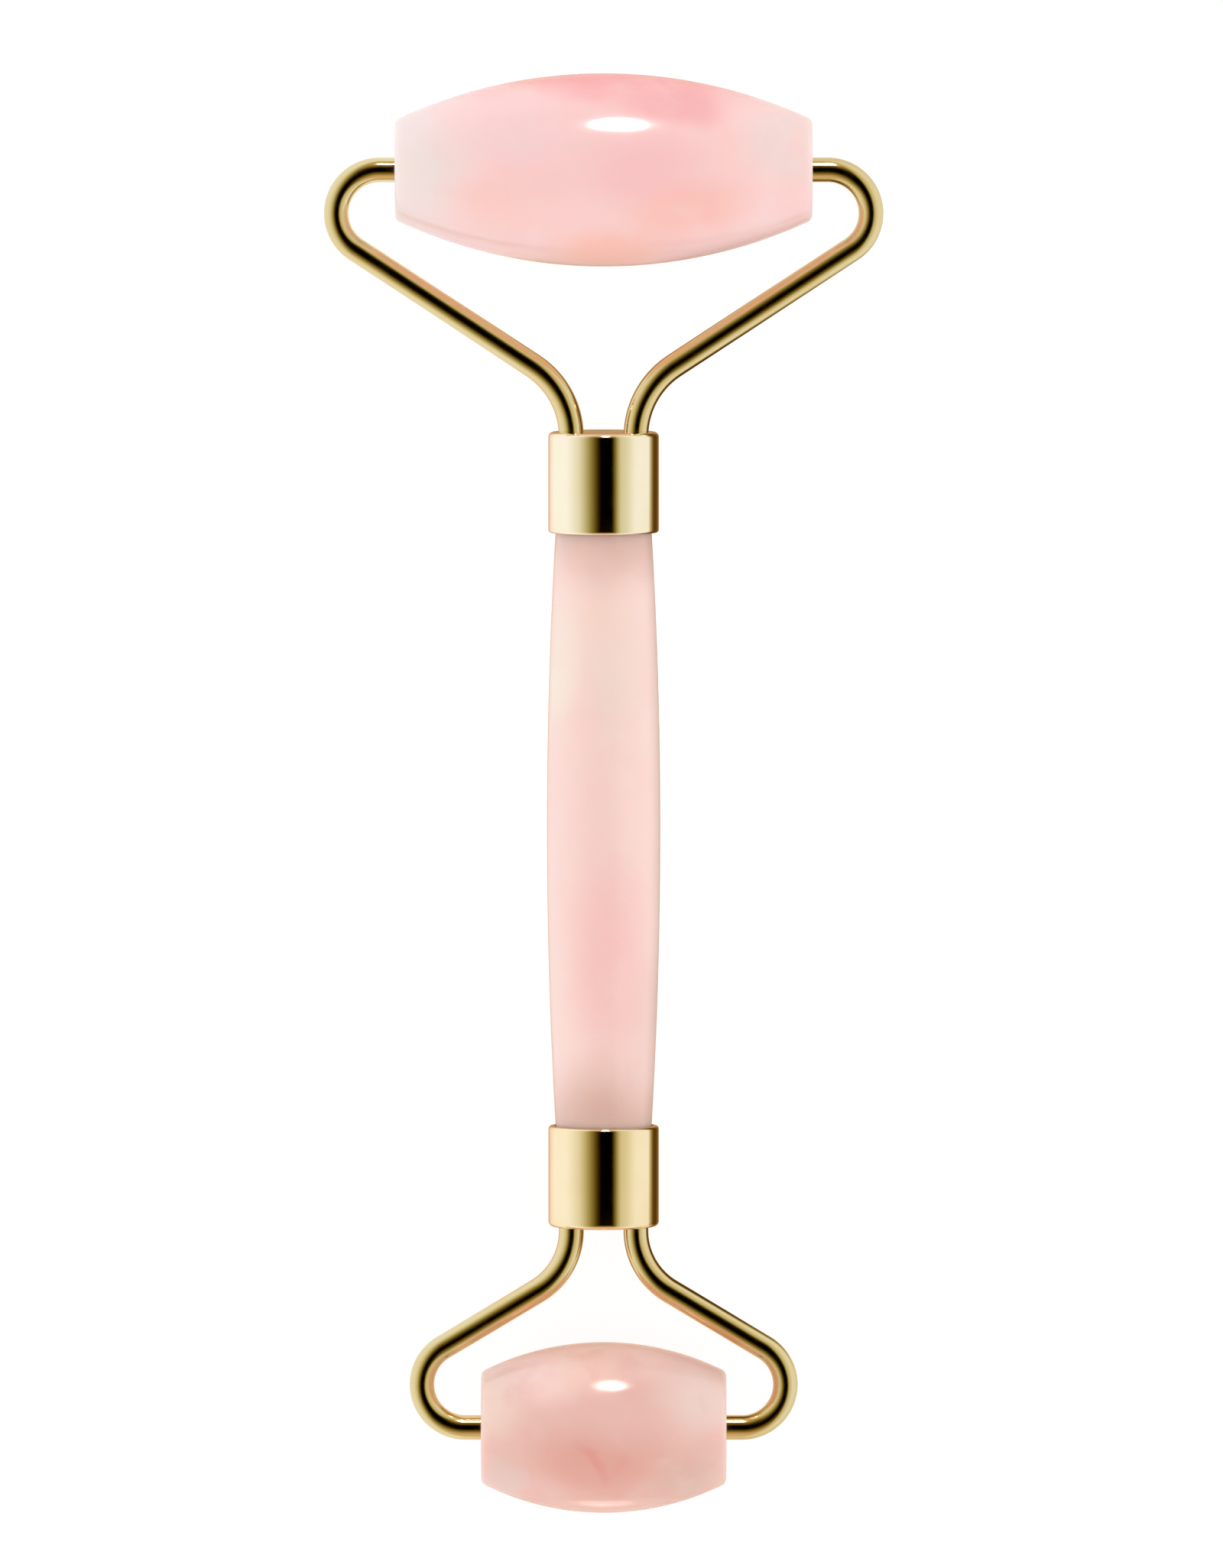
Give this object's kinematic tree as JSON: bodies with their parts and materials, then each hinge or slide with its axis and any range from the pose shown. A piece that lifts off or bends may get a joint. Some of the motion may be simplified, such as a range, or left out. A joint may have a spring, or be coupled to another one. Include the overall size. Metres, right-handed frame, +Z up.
{
  "type": "face roller",
  "caption": "Hand-held stone face roller: slim stone handle with gold end cups and bent wire arms, a large and a small barrel-shaped stone turning at either end.",
  "frame": {"origin": "bottom centre of the tool's box: on the surface that it lies on, under the middle of its length and width", "axes": "+X along the stones' axes, towards the right arms; +Y along the tool, towards the large stone; +Z up from the surface that both stones rest on"},
  "size_m": [0.0562, 0.145, 0.0194],
  "materials": {
    "roller_stone": "polished, milky and slightly translucent",
    "small_roller_stone": "polished, milky and slightly translucent",
    "handle_stone": "polished, milky and slightly translucent",
    "gold": "polished pale gold plating",
    "nylon": "moulded, smooth",
    "glue": "cured resin"
  },
  "bodies": {
    "handle": {"handle_stone": "handle_stone", "upper_ferrule": "gold", "lower_ferrule": "gold", "upper_glue_disc": "glue", "lower_glue_disc": "glue", "large_arm_left": "gold", "large_arm_right": "gold", "small_arm_left": "gold", "small_arm_right": "gold"},
    "large_roller": {"large_stone": "roller_stone", "large_bush_left": "nylon", "large_bush_right": "nylon"},
    "small_roller": {"small_stone": "small_roller_stone", "small_bush_left": "nylon", "small_bush_right": "nylon"}
  },
  "joints": [
    {"name": "large_roller_spin", "type": "hinge", "parent": "handle", "child": "large_roller", "pos_m": [0, 0.0628, 0.0097], "axis": [1, 0, 0], "continuous": true},
    {"name": "small_roller_spin", "type": "hinge", "parent": "handle", "child": "small_roller", "pos_m": [0, -0.0639, 0.0086], "axis": [1, 0, 0], "continuous": true}
  ]
}
